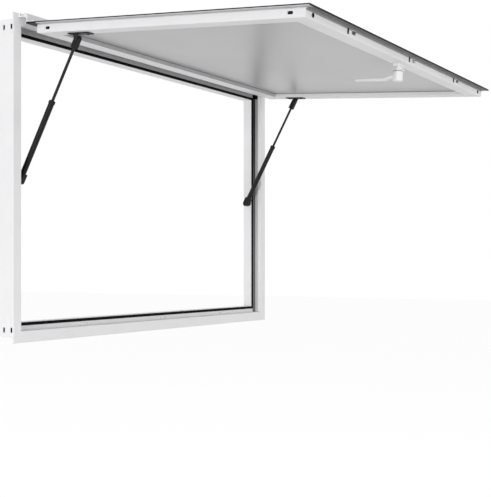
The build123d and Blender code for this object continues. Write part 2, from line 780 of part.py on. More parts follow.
with BuildPart() as strut_tube_left:
    with BuildSketch(strut_half):
        with BuildLine():
            Polyline(
                (0, TUBE_BASE),
                (TUBE_RADIUS, TUBE_BASE),
                (TUBE_RADIUS, crimp_top - CRIMP_WIDTH - CRIMP_DEPTH),
                (TUBE_RADIUS - CRIMP_DEPTH, crimp_top - CRIMP_WIDTH),
                (TUBE_RADIUS - CRIMP_DEPTH, crimp_top),
                (TUBE_RADIUS, crimp_top + CRIMP_DEPTH),
                (TUBE_RADIUS, tube_top - TUBE_CHAMFER),
                (TUBE_RADIUS - TUBE_CHAMFER, tube_top),
                (ROD_RADIUS + ROD_CLEARANCE, tube_top),
                (ROD_RADIUS + ROD_CLEARANCE, crimp_top),
                (tube_bore, crimp_top),
                (tube_bore, TUBE_BASE + TUBE_END),
                (0, TUBE_BASE + TUBE_END),
                close=True,
            )
        make_face()
    revolve(axis=strut_turn)

with BuildPart() as strut_tube_right:
    mirror(strut_tube_left.part, about=Plane.YZ)

# The foot and the head are flat-sided sockets with a round end about their pivot

with BuildPart() as strut_foot_left:
    with BuildSketch(Plane(origin=lower_ball, x_dir=strut_axis, z_dir=(-1, 0, 0))):
        Circle(FOOT_RADIUS)
        with Locations((TUBE_BASE / 2, 0)):
            Rectangle(TUBE_BASE, 2 * FOOT_RADIUS)
    extrude(amount=FOOT_WIDTH / 2, both=True)

with BuildPart() as strut_foot_right:
    mirror(strut_foot_left.part, about=Plane.YZ)

with BuildPart() as strut_rod_left:
    with BuildSketch(strut_half):
        with BuildLine():
            Polyline(
                (0, head_base),
                (ROD_RADIUS, head_base),
                (ROD_RADIUS, rod_base + PISTON_LENGTH),
                (tube_bore - ROD_CLEARANCE, rod_base + PISTON_LENGTH),
                (tube_bore - ROD_CLEARANCE, rod_base),
                (0, rod_base),
                close=True,
            )
        make_face()
    revolve(axis=strut_turn)

with BuildPart() as strut_rod_right:
    mirror(strut_rod_left.part, about=Plane.YZ)

with BuildPart() as strut_head_left:
    with BuildSketch(Plane(origin=upper_ball, x_dir=strut_axis, z_dir=(-1, 0, 0))):
        Circle(HEAD_RADIUS)
        with Locations((-HEAD_LENGTH / 2, 0)):
            Rectangle(HEAD_LENGTH, 2 * HEAD_RADIUS)
        Circle(PIN_RADIUS + PIN_CLEARANCE, mode=Mode.SUBTRACT)
    extrude(amount=HEAD_WIDTH / 2, both=True)

with BuildPart() as strut_head_right:
    mirror(strut_head_left.part, about=Plane.YZ)

# Brackets: sheet bent down at its outboard edge to a tapered tab that carries the strut's pin

bracket_outer = -strut_x - HEAD_WIDTH / 2 - SIDE_PLAY - BRACKET_THICKNESS
bracket_inner = bracket_outer + BRACKET_WIDTH
tab_face = bracket_outer + BRACKET_THICKNESS

with BuildPart() as strut_bracket_left:
    with BuildSketch(along_door(BRACKET_START)):
        with BuildLine() as bend:
            FilletPolyline(
                (bracket_inner, rail_face),
                (bracket_outer, rail_face),
                (bracket_outer, rail_face - UPPER_BALL_DROP - TAB_TIP),
                radius=BRACKET_BEND,
            )
            offset(amount=BRACKET_THICKNESS, side=Side.LEFT)
        make_face()
    extrude(amount=BRACKET_LENGTH)
    with BuildSketch(across_door(tab_face)):
        with BuildLine():
            Polyline(
                (BRACKET_START, rail_face),
                (BRACKET_START + BRACKET_LENGTH, rail_face),
                (BRACKET_START + BRACKET_LENGTH, rail_face - BRACKET_THICKNESS),
                (UPPER_BALL_OUT + TAB_SPREAD, rail_face - BRACKET_BEND),
                (UPPER_BALL_OUT + TAB_TIP, rail_face - UPPER_BALL_DROP),
            )
            ThreePointArc(
                (UPPER_BALL_OUT + TAB_TIP, rail_face - UPPER_BALL_DROP),
                (UPPER_BALL_OUT, rail_face - UPPER_BALL_DROP - TAB_TIP),
                (UPPER_BALL_OUT - TAB_TIP, rail_face - UPPER_BALL_DROP),
            )
            Polyline(
                (UPPER_BALL_OUT - TAB_TIP, rail_face - UPPER_BALL_DROP),
                (UPPER_BALL_OUT - TAB_SPREAD, rail_face - BRACKET_BEND),
                (BRACKET_START, rail_face - BRACKET_THICKNESS),
                (BRACKET_START, rail_face),
            )
        make_face()
    extrude(amount=2 * BRACKET_WIDTH, both=True, mode=Mode.INTERSECT)
    with BuildSketch(across_door(tab_face)):
        with Locations((UPPER_BALL_OUT, rail_face - UPPER_BALL_DROP)):
            Circle(PIN_RADIUS)
    pin_end = -strut_x + HEAD_WIDTH / 2 + SIDE_PLAY
    extrude(amount=-(pin_end - tab_face))
    with BuildSketch(across_door(pin_end)):
        with Locations((UPPER_BALL_OUT, rail_face - UPPER_BALL_DROP)):
            Circle(PIN_HEAD)
    extrude(amount=-PIN_HEAD_THICKNESS)

with BuildPart() as strut_bracket_right:
    mirror(strut_bracket_left.part, about=Plane.YZ)

pieces = {
    "frame_left_jamb": frame_left_jamb,
    "frame_right_jamb": frame_right_jamb,
    "frame_sill": frame_sill,
    "frame_header": frame_header,
    "frame_corner_keys": frame_corner_keys,
    "seal_left": seal_left,
    "seal_right": seal_right,
    "seal_bottom": seal_bottom,
    "seal_top": seal_top,
    "keeper_left": keeper_left,
    "keeper_middle": keeper_middle,
    "keeper_right": keeper_right,
    "hinge_leaf": hinge_leaf,
    "hinge_socket": hinge_socket,
    "door_skin": door_skin,
    "front_weatherstrip": front_weatherstrip,
    "hinge_weatherstrip": hinge_weatherstrip,
    "left_weatherstrip": left_weatherstrip,
    "right_weatherstrip": right_weatherstrip,
    "door_left_rail": door_left_rail,
    "door_right_rail": door_right_rail,
    "door_front_rail": door_front_rail,
    "door_hinge_rail": door_hinge_rail,
    "door_corner_keys": door_corner_keys,
    "door_panel": door_panel,
    "lock_bolt_left": lock_bolt_left,
    "lock_bolt_middle": lock_bolt_middle,
    "lock_bolt_right": lock_bolt_right,
    "lock_studs": lock_studs,
    "latch_base": latch_base,
    "latch_handle": latch_handle,
    "jamb_stud_left": jamb_stud_left,
    "jamb_stud_right": jamb_stud_right,
    "strut_tube_left": strut_tube_left,
    "strut_tube_right": strut_tube_right,
    "strut_foot_left": strut_foot_left,
    "strut_foot_right": strut_foot_right,
    "strut_rod_left": strut_rod_left,
    "strut_rod_right": strut_rod_right,
    "strut_head_left": strut_head_left,
    "strut_head_right": strut_head_right,
    "strut_bracket_left": strut_bracket_left,
    "strut_bracket_right": strut_bracket_right,
}

for label, piece in pieces.items():
    piece.part.label = label
    export_step(piece.part, f"parts/{label}.step")
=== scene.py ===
import json
import math

import bmesh
import bpy
from mathutils import Matrix, Vector


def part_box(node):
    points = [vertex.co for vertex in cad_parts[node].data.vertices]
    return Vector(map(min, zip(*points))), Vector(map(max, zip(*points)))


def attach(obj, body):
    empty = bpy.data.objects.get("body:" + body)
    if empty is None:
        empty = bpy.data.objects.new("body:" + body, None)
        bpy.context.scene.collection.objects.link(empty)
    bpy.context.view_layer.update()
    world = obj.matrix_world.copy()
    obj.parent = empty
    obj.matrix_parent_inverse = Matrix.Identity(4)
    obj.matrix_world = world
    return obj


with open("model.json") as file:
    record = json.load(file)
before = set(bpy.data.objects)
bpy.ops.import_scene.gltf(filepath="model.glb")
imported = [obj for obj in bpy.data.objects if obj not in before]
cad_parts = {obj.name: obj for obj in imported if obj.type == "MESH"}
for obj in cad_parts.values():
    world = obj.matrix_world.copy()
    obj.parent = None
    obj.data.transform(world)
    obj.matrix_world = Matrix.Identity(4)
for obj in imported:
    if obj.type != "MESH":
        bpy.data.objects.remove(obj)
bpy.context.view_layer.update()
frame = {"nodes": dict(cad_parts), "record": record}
nodes = frame["nodes"]

MM = 0.001

# The door at rest, in millimetres: its hinge line, then places out from that line, heights along
# the door's normal and half widths, all as in the part's source
HINGE_Y = -24.5
HINGE_Z = 868.0
DOOR_TILT = math.radians(4.2)
RAIL_FACE = -43.5
RAIL_START = 27.0
RAIL_END = 836.5
RAIL_X = 633.0
SKIN_END = 855.5
SKIN_X = 652.0
PANEL_FACE = -29.5
PANEL_START = 74.0
PANEL_END = 792.5
PANEL_X = 589.0

# Lock stations along the front rail, with the shift from each to its slot and to its stud
STATIONS = (-392.0, 10.0, 376.0)
SLOT_SHIFT = -17.0
SLOT_HEIGHT = -30.0
SLOT_SIZE = (5.0, 13.0)
STUD_SHIFT = 15.0
STUD_FACE = RAIL_END + 1.5
END_HOLE_X = 597.0
END_HOLE_HEIGHT = -32.0
END_HOLE_SIZE = (8.0, 8.02)

LATCH_OUT = 802.5
LATCH_PLATE_FACE = RAIL_FACE - 6.0
BRACKET_PLATE_FACE = RAIL_FACE - 3.0

# The frame: its rebate, seals, side walls and hinge leaf
WALL_X = 644.0
WALL_TOP = 846.0
WALL_BOTTOM = 24.0
STOP_DEPTH = 28.0
SEAL_OUTER = 13.0
BODY_X = 661.0
LEAF_FACE_Y = -5.0
LEAF_SCREW_Z = 872.5

# The struts: their half spacing, then the upper and lower pivots as (y, z)
STRUT_X = 604.0
STRUT_TOP = Vector((-165.4, 800.0))
STRUT_FOOT = Vector((39.5, 433.5))

OUTWARD = Vector((0.0, -math.cos(DOOR_TILT), -math.sin(DOOR_TILT)))
NORMAL = Vector((0.0, -math.sin(DOOR_TILT), math.cos(DOOR_TILT)))
DOWN = -NORMAL
HINGE = Vector((0.0, HINGE_Y, HINGE_Z)) * MM


def door_point(x, out, height):
    """A point in door measures, in millimetres, as a place in metres."""
    return HINGE + Vector((x * MM, 0.0, 0.0)) + OUTWARD * (out * MM) + NORMAL * (height * MM)


# Node helpers


def new_material(name):
    """An empty node material with a Principled shader, its tree and the shader."""
    made = bpy.data.materials.new(name)
    made.use_nodes = True
    tree = made.node_tree
    tree.nodes.clear()
    output = tree.nodes.new("ShaderNodeOutputMaterial")
    shader = tree.nodes.new("ShaderNodeBsdfPrincipled")
    tree.links.new(shader.outputs["BSDF"], output.inputs["Surface"])
    return made, tree, shader


def place_of(tree):
    return tree.nodes.new("ShaderNodeTexCoord").outputs["Object"]


def stretched(tree, source, scale):
    """The place stretched along the axes, for brushed or drawn marks."""
    mapping = tree.nodes.new("ShaderNodeMapping")
    mapping.inputs["Scale"].default_value = scale
    tree.links.new(source, mapping.inputs["Vector"])
    return mapping.outputs["Vector"]


def noise(tree, source, scale, detail=3.0, rough=0.55):
    made = tree.nodes.new("ShaderNodeTexNoise")
    made.inputs["Scale"].default_value = scale
    made.inputs["Detail"].default_value = detail
    made.inputs["Roughness"].default_value = rough
    tree.links.new(source, made.inputs["Vector"])
    return made.outputs["Fac"]


def spread(tree, value, low, high, start=0.3, end=0.7):
    """A value from start to end becomes one from low to high."""
    made = tree.nodes.new("ShaderNodeMapRange")
    made.inputs["From Min"].default_value = start
    made.inputs["From Max"].default_value = end
    made.inputs["To Min"].default_value = low
    made.inputs["To Max"].default_value = high
    tree.links.new(value, made.inputs["Value"])
    return made.outputs["Result"]


def ramp(tree, value, stops):
    """A colour ramp with grey or coloured stops."""
    made = tree.nodes.new("ShaderNodeValToRGB")
    band = made.color_ramp
    while len(band.elements) < len(stops):
        band.elements.new(0.5)
    for element, (at, colour) in zip(band.elements, stops):
        element.position = at
        element.color = (*colour, 1.0)
    tree.links.new(value, made.inputs["Fac"])
    return made.outputs["Color"]


def math_node(tree, operation, first, second):
    made = tree.nodes.new("ShaderNodeMath")
    made.operation = operation
    for socket, given in zip(made.inputs, (first, second)):
        if isinstance(given, (int, float)):
            socket.default_value = given
        else:
            tree.links.new(given, socket)
    return made.outputs["Value"]


def mixed(tree, share, first, second):
    """The first colour where the share is 0 and the second where it is 1."""
    made = tree.nodes.new("ShaderNodeMix")
    made.data_type = "RGBA"
    tree.links.new(share, made.inputs["Factor"])
    tree.links.new(first, made.inputs[6])
    tree.links.new(second, made.inputs[7])
    return made.outputs[2]


def bump(tree, shader, height, strength, distance):
    """Lets a height texture roughen the shader's normal."""
    made = tree.nodes.new("ShaderNodeBump")
    made.inputs["Strength"].default_value = strength
    made.inputs["Distance"].default_value = distance
    tree.links.new(height, made.inputs["Height"])
    tree.links.new(made.outputs["Normal"], shader.inputs["Normal"])


def shade(colour, factor):
    return tuple(min(1.0, channel * factor) for channel in colour)


def coated(name, colour, rough, vary=0.03, peel=0.25, coat=0.0, shine=0.5):
    """Powder coat or paint: soft large shading in colour, and a fine orange peel."""
    made, tree, shader = new_material(name)
    place = place_of(tree)
    cloud = noise(tree, place, 3.5, 4.0)
    light, dark = shade(colour, 1.0 + vary), shade(colour, 1.0 - vary)
    tree.links.new(ramp(tree, cloud, ((0.3, dark), (0.7, light))), shader.inputs["Base Color"])
    film = noise(tree, place, 45.0, 3.0)
    tree.links.new(spread(tree, film, rough - 0.06, rough + 0.08), shader.inputs["Roughness"])
    fine = noise(tree, place, 700.0, 2.0)
    bump(tree, shader, fine, peel, 0.00012)
    shader.inputs["Specular IOR Level"].default_value = shine
    shader.inputs["Coat Weight"].default_value = coat
    shader.inputs["Coat Roughness"].default_value = 0.15
    return made


def laminate(name, colour):
    """Grey foam-cored panel: soft cloudy shading, faint smudges and a fine grain."""
    made, tree, shader = new_material(name)
    place = place_of(tree)
    cloud = noise(tree, place, 1.6, 3.0, 0.5)
    smudge = noise(tree, stretched(tree, place, (3.0, 5.0, 3.0)), 1.3, 2.0, 0.4)
    stops = ((0.1, shade(colour, 0.94)), (0.9, shade(colour, 1.06)))
    tree.links.new(ramp(tree, cloud, stops), shader.inputs["Base Color"])
    tree.links.new(spread(tree, smudge, 0.28, 0.33, 0.1, 0.9), shader.inputs["Roughness"])
    grain = noise(tree, place, 260.0, 2.0)
    bump(tree, shader, grain, 0.04, 0.0001)
    return made


def rubber(name, colour, shine=0.15, bloom_gain=1.7):
    """Matt extruded rubber: faint bloom and fine pores."""
    made, tree, shader = new_material(name)
    place = place_of(tree)
    bloom = noise(tree, place, 30.0, 4.0)
    stops = ((0.35, colour), (0.75, shade(colour, bloom_gain)))
    tree.links.new(ramp(tree, bloom, stops), shader.inputs["Base Color"])
    tree.links.new(spread(tree, bloom, 0.62, 0.78), shader.inputs["Roughness"])
    pores = noise(tree, place, 1200.0, 2.0)
    bump(tree, shader, pores, 0.35, 0.00015)
    shader.inputs["Specular IOR Level"].default_value = shine
    return made


def door_places(tree, place):
    """The place's distance out from the hinge line, and its distance from the middle plane."""
    split = tree.nodes.new("ShaderNodeSeparateXYZ")
    tree.links.new(place, split.inputs["Vector"])
    along = tree.nodes.new("ShaderNodeVectorMath")
    along.operation = "DOT_PRODUCT"
    along.inputs[1].default_value = OUTWARD
    tree.links.new(place, along.inputs[0])
    out = math_node(tree, "SUBTRACT", along.outputs["Value"], HINGE.dot(OUTWARD))
    side = math_node(tree, "ABSOLUTE", split.outputs["X"], 0.0)
    return out, side


def skin_paint(name, colour, rough, edge):
    """The skin's coat, with a black, unshiny band painted along its cut edges."""
    made, tree, shader = new_material(name)
    place = place_of(tree)
    out, side = door_places(tree, place)
    past_side = math_node(tree, "SUBTRACT", side, (SKIN_X - 1.3) * MM)
    past_end = math_node(tree, "SUBTRACT", out, (SKIN_END - 1.3) * MM)
    most = math_node(tree, "MAXIMUM", past_side, past_end)
    edge_band = math_node(tree, "GREATER_THAN", most, 0.0)
    tree.links.new(spread(tree, edge_band, 0.5, 0.0, 0.0, 1.0), shader.inputs["Specular IOR Level"])
    cloud = noise(tree, place, 3.5, 4.0)
    coat = ramp(tree, cloud, ((0.3, shade(colour, 0.97)), (0.7, shade(colour, 1.03))))
    streak = noise(tree, place, 90.0, 4.0)
    band = ramp(tree, streak, ((0.3, edge), (0.7, shade(edge, 2.0))))
    tree.links.new(mixed(tree, edge_band, coat, band), shader.inputs["Base Color"])
    film = noise(tree, place, 45.0, 3.0)
    tree.links.new(spread(tree, film, rough - 0.06, rough + 0.08), shader.inputs["Roughness"])
    fine = noise(tree, place, 700.0, 2.0)
    bump(tree, shader, fine, 0.25, 0.00012)
    return made


def lining_with_painted_shade(name, header_colour, jamb_colour, wall_colour):
    """The rebate's lining, whose grey stands partly for shade in the recess: even on the header,
    and on the jambs darker towards the top as painted shade from the door above.
    """
    made, tree, shader = new_material(name)
    place = place_of(tree)
    split = tree.nodes.new("ShaderNodeSeparateXYZ")
    tree.links.new(place, split.inputs["Vector"])
    bloom = noise(tree, place, 30.0, 4.0)
    header = ramp(tree, bloom, ((0.3, header_colour), (0.7, shade(header_colour, 1.15))))
    # Painted shade: on the jambs the lining and its wall darken upwards, where the door above
    # shades them
    level = math_node(tree, "ADD", split.outputs["Z"], math_node(tree, "MULTIPLY", bloom, 0.12))
    jamb = ramp(tree, level, ((0.3, jamb_colour), (0.8, shade(jamb_colour, 0.15))))
    wall = ramp(tree, level, ((0.3, wall_colour), (0.8, shade(wall_colour, 0.58))))
    side = math_node(tree, "ABSOLUTE", split.outputs["X"], 0.0)
    jamb_start = WALL_X - SEAL_OUTER - 0.5
    wall_end = STOP_DEPTH - 4.8
    is_jamb = math_node(tree, "GREATER_THAN", side, jamb_start * MM)
    is_wall = math_node(tree, "LESS_THAN", split.outputs["Y"], wall_end * MM)
    blend = mixed(tree, is_jamb, header, mixed(tree, is_wall, jamb, wall))
    tree.links.new(blend, shader.inputs["Base Color"])
    tree.links.new(spread(tree, bloom, 0.5, 0.65), shader.inputs["Roughness"])
    shader.inputs["Specular IOR Level"].default_value = 0.25
    pores = noise(tree, place, 1000.0, 2.0)
    bump(tree, shader, pores, 0.3, 0.00015)
    return made


def lip_rubber(name, front_colour, side_colour, heel_colour):
    """The lip's rubber: a paler heel at the rail, and paler strips at the sides than in front. It
    is black along its outer edge, and black near the hinge as painted shadow of the gap there.
    """
    made, tree, shader = new_material(name)
    place = place_of(tree)
    out, side = door_places(tree, place)
    grain = noise(tree, place, 60.0, 3.0)
    front = ramp(tree, grain, ((0.3, front_colour), (0.7, shade(front_colour, 1.25))))
    sides = ramp(tree, grain, ((0.3, side_colour), (0.7, shade(side_colour, 1.12))))
    heel = ramp(tree, grain, ((0.3, heel_colour), (0.7, shade(heel_colour, 1.15))))
    black = ramp(tree, grain, ((0.3, (0.01, 0.01, 0.01)), (0.7, (0.018, 0.018, 0.018))))
    is_side = math_node(tree, "GREATER_THAN", side, RAIL_X * MM)
    is_heel = math_node(tree, "LESS_THAN", out, (RAIL_END + 5.1) * MM)
    # Painted shadow: the strip is black up to 12 mm out from the rails' start, for the dark gap
    # under the hinge
    hinge_shadow = math_node(tree, "LESS_THAN", out, (RAIL_START + 12.0) * MM)
    is_edge = math_node(tree, "GREATER_THAN", out, (SKIN_END - 0.6) * MM)
    is_black = math_node(tree, "MAXIMUM", hinge_shadow, is_edge)
    blend = mixed(tree, is_side, mixed(tree, is_heel, front, heel), sides)
    tree.links.new(mixed(tree, is_black, blend, black), shader.inputs["Base Color"])
    tree.links.new(spread(tree, grain, 0.55, 0.7), shader.inputs["Roughness"])
    shader.inputs["Specular IOR Level"].default_value = 0.3
    pores = noise(tree, place, 1000.0, 2.0)
    bump(tree, shader, pores, 0.3, 0.00015)
    return made


def metal(name, colour, rough, scale=(1.0, 1.0, 1.0), vary=0.18):
    """Plated or drawn metal: cloudy plating, fine marks and a roughness that varies."""
    made, tree, shader = new_material(name)
    place = place_of(tree)
    drawn = stretched(tree, place, scale)
    cloud = noise(tree, place, 40.0, 4.0)
    stops = ((0.3, shade(colour, 1.0 - vary)), (0.7, shade(colour, 1.0 + vary)))
    tree.links.new(ramp(tree, cloud, stops), shader.inputs["Base Color"])
    lines = noise(tree, drawn, 260.0, 3.0, 0.7)
    tree.links.new(spread(tree, lines, rough - 0.07, rough + 0.1), shader.inputs["Roughness"])
    bump(tree, shader, lines, 0.15, 0.00008)
    shader.inputs["Metallic"].default_value = 1.0
    return made


def moulded(name, colour, rough, shine=0.16):
    """Black moulded nylon: fine spark texture and small scuffs."""
    made, tree, shader = new_material(name)
    place = place_of(tree)
    scuff = noise(tree, place, 85.0, 5.0, 0.65)
    stops = ((0.4, colour), (0.8, shade(colour, 2.2)))
    tree.links.new(ramp(tree, scuff, stops), shader.inputs["Base Color"])
    tree.links.new(spread(tree, scuff, rough - 0.08, rough + 0.1), shader.inputs["Roughness"])
    spark = noise(tree, place, 1500.0, 2.0)
    bump(tree, shader, spark, 0.3, 0.0001)
    shader.inputs["Specular IOR Level"].default_value = shine
    return made


WHITE_PAINT = (0.87, 0.87, 0.88)
DOOR_PAINT = (0.82, 0.82, 0.83)
materials = {
    "frame_paint": coated("frame_powder_coat", WHITE_PAINT, 0.4),
    "door_paint": coated("door_powder_coat", DOOR_PAINT, 0.4),
    "panel_grey": laminate("panel_laminate", (0.475, 0.475, 0.484)),
    # Corner keys in black nylon, partly painted shade that darkens the slots in front of them
    "key_black": moulded("corner_key_nylon_slot_shade", (0.01, 0.01, 0.01), 0.6, shine=0.1),
    "seal_rubber": rubber("seal_black_rubber", (0.003, 0.003, 0.003), shine=0.05),
    "strip_rubber": lip_rubber(
        "lip_rubber",
        front_colour=(0.137, 0.137, 0.14),
        side_colour=(0.5, 0.5, 0.51),
        heel_colour=(0.23, 0.23, 0.235),
    ),
    "keeper_steel": metal("keeper_zinc", (0.8, 0.8, 0.81), 0.4, scale=(1.0, 8.0, 8.0), vary=0.08),
    "stud_steel": metal("stud_zinc", (0.12, 0.12, 0.123), 0.36),
    "latch_paint": coated(
        "latch_white_paint", (0.8, 0.8, 0.81), 0.36, vary=0.02, peel=0.15, coat=0.3
    ),
    "strut_black": coated(
        "strut_black_paint", (0.008, 0.008, 0.0085), 0.36, vary=0.25, peel=0.2, shine=0.17
    ),
    "rod_black": metal("rod_black_nitride", (0.02, 0.02, 0.0205), 0.36, scale=(6.0, 1.0, 1.0)),
    "fitting_black": moulded("fitting_black_nylon", (0.008, 0.008, 0.008), 0.5),
    "bracket_black": coated(
        "bracket_black_paint", (0.012, 0.012, 0.0125), 0.5, vary=0.2, peel=0.5, shine=0.25
    ),
}
skin_material = skin_paint("door_skin_paint", DOOR_PAINT, 0.4, (0.012, 0.012, 0.012))
# Blackened lock bolts, partly painted shade that darkens the lock slots
bolt_slot_shade_material = metal("bolt_blackened_steel_slot_shade", (0.04, 0.04, 0.041), 0.5)
screw_metal = metal("screw_zinc", (0.75, 0.75, 0.76), 0.3)
screw_paint = coated("screw_white_paint", (0.8, 0.8, 0.81), 0.35)
shade_trim_material = rubber("hinge_shade_trim_rubber", (0.4, 0.4, 0.405), bloom_gain=1.12)
shade_foot_material = rubber("lip_shade_foot_rubber", (0.3, 0.3, 0.305), bloom_gain=1.15)
bead_material = rubber("panel_bead_rubber", (0.08, 0.08, 0.081), bloom_gain=1.15)
# Grey of the rebate lining, partly painted shade of the recess
shade_lining_material = lining_with_painted_shade(
    "rebate_painted_shade_lining",
    header_colour=(0.37, 0.37, 0.376),
    jamb_colour=(0.2, 0.2, 0.204),
    wall_colour=(0.6, 0.6, 0.61),
)

own_materials = {"door_skin": skin_material}
for name in ("lock_bolt_left", "lock_bolt_middle", "lock_bolt_right"):
    own_materials[name] = bolt_slot_shade_material
for row in frame["record"]["subparts"]:
    node = nodes[row["node"]]
    node.data.materials.clear()
    node.data.materials.append(own_materials.get(row["node"], materials[row["material_slot"]]))


# Small pieces


def add_piece(mesh, name, body, material):
    """Turns the faces outward and puts the mesh into the scene as a piece that rides on a body."""
    bmesh.ops.recalc_face_normals(mesh, faces=mesh.faces)
    data = bpy.data.meshes.new(name)
    mesh.to_mesh(data)
    mesh.free()
    data.materials.append(material)
    made = bpy.data.objects.new(name, data)
    bpy.context.scene.collection.objects.link(made)
    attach(made, body)


def bridge(mesh, rings, closed=False, capped=False, smooth=False):
    """Makes faces from each ring of points to the next, and back to the first if closed."""
    following = rings[1:] + rings[:1] if closed else rings[1:]
    for ring, after in zip(rings, following):
        for index in range(len(ring)):
            other = (index + 1) % len(ring)
            face = mesh.faces.new((ring[index], ring[other], after[other], after[index]))
            face.smooth = smooth
    if capped:
        mesh.faces.new(list(reversed(rings[0])))
        mesh.faces.new(rings[-1])


def axis_matrix(origin, axis):
    """A place whose local Z points along the axis."""
    turn = Vector((0.0, 0.0, 1.0)).rotation_difference(axis.normalized())
    return Matrix.Translation(origin) @ turn.to_matrix().to_4x4()


def add_lathe(mesh, where, profile, lobes=None, segments=24, hollow=False):
    """Turns (radius, height) points about the local Z axis.

    A lobed ring gives a screw's recess; a hollow profile closes on itself round a bore.
    """
    rings = []
    for index, (radius, height) in enumerate(profile):
        ring = []
        for step in range(segments):
            angle = 2.0 * math.pi * step / segments
            reach = radius
            if lobes and index in lobes:
                reach = radius * (1.0 + 0.18 * math.cos(6.0 * angle))
            point = Vector((reach * math.cos(angle), reach * math.sin(angle), height)) * MM
            ring.append(mesh.verts.new(where @ point))
        rings.append(ring)
    bridge(mesh, rings, closed=hollow, capped=not hollow, smooth=not hollow)


def collar(name, origin, axis, profile, body, material):
    """A turned ring with a bore, its profile given as a loop of (radius, height) points."""
    mesh = bmesh.new()
    add_lathe(mesh, axis_matrix(origin, axis), profile, segments=40, hollow=True)
    add_piece(mesh, name, body, material)


def pan_head(radius, height, recess):
    """Profile of a pan head with a recess; the last three rings go down into it."""
    return (
        (radius, -0.2),
        (radius, 0.35 * height),
        (0.92 * radius, 0.72 * height),
        (0.72 * radius, 0.93 * height),
        (recess + 0.35, height),
        (recess, 0.96 * height),
        (0.82 * recess, 0.3 * height),
    )


def screws(name, places, size, body, material):
    """One mesh of pan-head screws of one (radius, height, recess), at (origin, axis) places."""
    mesh = bmesh.new()
    for origin, axis in places:
        add_lathe(mesh, axis_matrix(origin, axis), pan_head(*size), lobes=(5, 6))
    add_piece(mesh, name, body, material)


def rectangle_bead(name, inner, profile, body, material):
    """A bead round the panel: a small profile of (inset, height) points with mitred corners."""
    half, start, end = inner
    mesh = bmesh.new()
    corners = ((-1, start, 1), (1, start, 1), (1, end, -1), (-1, end, -1))
    rings = []
    for side, out, inward in corners:
        ring = []
        for inset, height in profile:
            point = door_point(side * (half - inset), out + inward * inset, height)
            ring.append(mesh.verts.new(point))
        rings.append(ring)
    bridge(mesh, rings, closed=True)
    add_piece(mesh, name, body, material)


# Bead of sealant between the panel and its rails
BEAD = (
    (-0.3, PANEL_FACE + 0.3),
    (1.6, PANEL_FACE + 0.3),
    (1.3, PANEL_FACE - 0.5),
    (-0.3, PANEL_FACE - 1.4),
)
rectangle_bead(
    "panel_bead", (PANEL_X, PANEL_START, PANEL_END), BEAD, "door", bead_material
)


def rebate_shade_strip(name, path, section, material):
    """A dark strip in the rebate's corner, whose darkness is partly painted shade: along the stop
    face and a little way up its wall.

    The path has (x, z, inward x, inward z) stations along the rebate's corner, and each station
    gets the same section of (inset, depth) points.
    """
    mesh = bmesh.new()
    rings = []
    for x, z, inward_x, inward_z in path:
        ring = []
        for inset, depth in section:
            point = Vector((x + inward_x * inset, depth, z + inward_z * inset)) * MM
            ring.append(mesh.verts.new(point))
        rings.append(ring)
    bridge(mesh, rings, capped=True)
    add_piece(mesh, name, "frame", material)


# Rebate lining beside the seals, partly painted shade of the recess: down both jambs and along the
# header
SHADE_LINING = (
    (-0.1, STOP_DEPTH + 0.1),
    (SEAL_OUTER - 0.3, STOP_DEPTH + 0.1),
    (SEAL_OUTER - 0.3, STOP_DEPTH - 0.8),
    (0.8, STOP_DEPTH - 0.8),
    (0.8, STOP_DEPTH - 15.6),
    (0.5, STOP_DEPTH - 16.4),
    (-0.1, STOP_DEPTH - 16.4),
)
lining_path = (
    (-WALL_X, WALL_BOTTOM, 1, 0),
    (-WALL_X, WALL_TOP, 1, -1),
    (WALL_X, WALL_TOP, -1, -1),
    (WALL_X, WALL_BOTTOM, -1, 0),
)
rebate_shade_strip("rebate_shade_strip", lining_path, SHADE_LINING, shade_lining_material)

# Black blocks in the rebate's upper corners, where the seals meet: painted shadow of the hinge
# rail in those corners
CORNER_SHADE_BLOCK = (
    (-0.1, STOP_DEPTH + 0.1),
    (SEAL_OUTER + 0.5, STOP_DEPTH + 0.1),
    (SEAL_OUTER + 0.5, STOP_DEPTH - 2.6),
    (SEAL_OUTER - 0.5, STOP_DEPTH - 3.6),
    (2.6, STOP_DEPTH - 3.6),
    (2.6, STOP_DEPTH - 13.6),
    (1.8, STOP_DEPTH - 14.4),
    (-0.1, STOP_DEPTH - 14.4),
)
BLOCK_LENGTH = 16.0
for side, name in ((-1, "left"), (1, "right")):
    block_path = (
        (side * WALL_X, WALL_TOP - BLOCK_LENGTH, -side, 0),
        (side * WALL_X, WALL_TOP, -side, 0),
    )
    rebate_shade_strip(f"corner_shade_block_{name}", block_path, CORNER_SHADE_BLOCK, materials["seal_rubber"])


def door_extrusion(name, profile, spans, material):
    """A strip along the door's width, in one or more spans of x, from (out, height) points."""
    mesh = bmesh.new()
    for span in spans:
        ends = []
        for x in span:
            ends.append([mesh.verts.new(door_point(x, out, height)) for out, height in profile])
        bridge(mesh, ends, capped=True)
    add_piece(mesh, name, "door", material)


# Grey trim on the hinge rail's inner wall, short of the bead at both ends: painted shade of the
# wall beside the hinge
TRIM = (
    (PANEL_START - 0.1, -30.2),
    (PANEL_START + 0.5, -30.2),
    (PANEL_START + 0.8, -31.0),
    (PANEL_START + 0.8, -41.0),
    (PANEL_START + 0.3, -41.8),
    (PANEL_START - 0.1, -41.8),
)
TRIM_X = PANEL_X - 1.8
door_extrusion("hinge_rail_shade_trim", TRIM, ((-TRIM_X, TRIM_X),), shade_trim_material)

